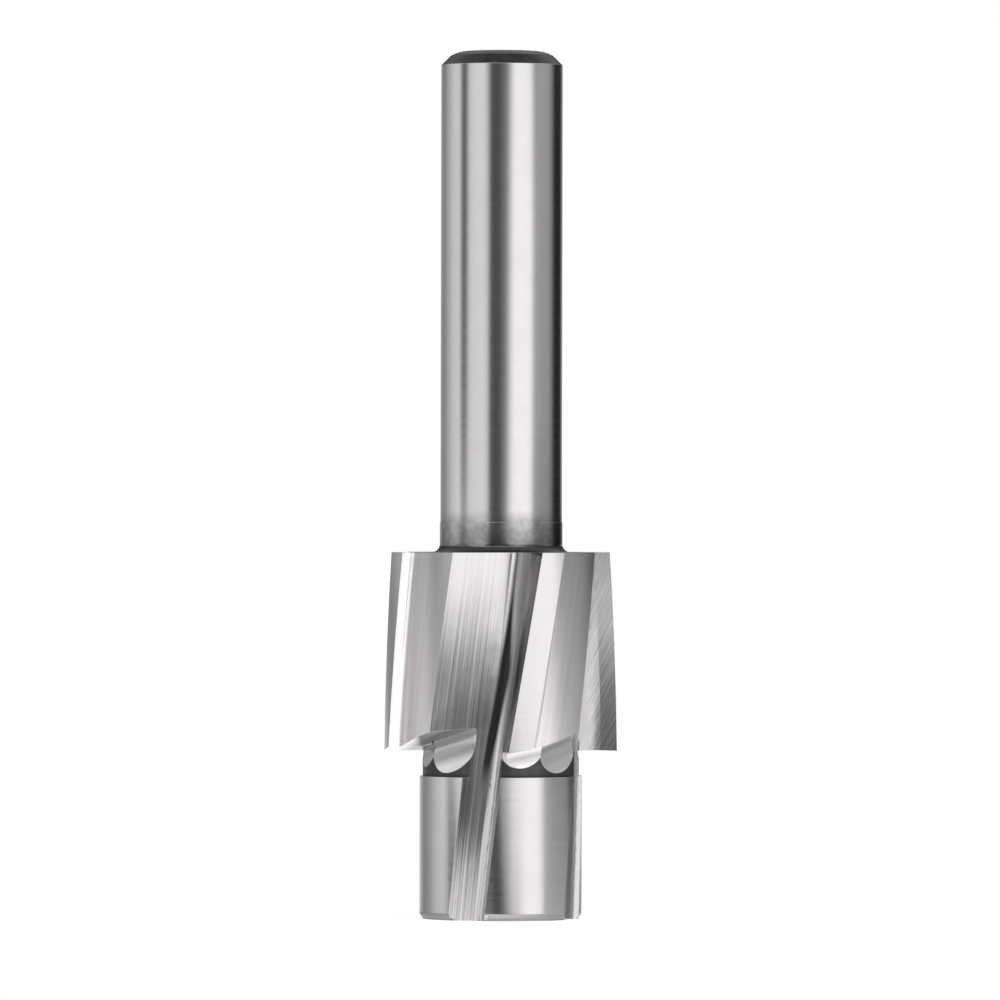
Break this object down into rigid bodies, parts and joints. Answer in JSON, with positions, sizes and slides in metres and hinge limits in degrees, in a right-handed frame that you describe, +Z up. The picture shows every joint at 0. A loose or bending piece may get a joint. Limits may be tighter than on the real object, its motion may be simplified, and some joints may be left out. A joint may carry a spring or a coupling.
{
  "type": "pilot slotting cutter",
  "caption": "Slotting cutter with a parallel shank, helical teeth with end lips, and a solid fluted pilot that guides it in a drilled hole.",
  "frame": {"origin": "centre of the pilot's flat end, which the cutter stands on", "axes": "+Z up along the tool's axis from the pilot's end to the shank's end; -Y faces the viewer of the picture; the flutes turn right-handed about +Z"},
  "size_m": [0.023, 0.023, 0.0855],
  "materials": {
    "tool_steel": "ground, with darker unground chamfer, neck and flutes"
  },
  "bodies": {
    "root": {"pilot_slotting_cutter": "tool_steel"}
  },
  "joints": []
}
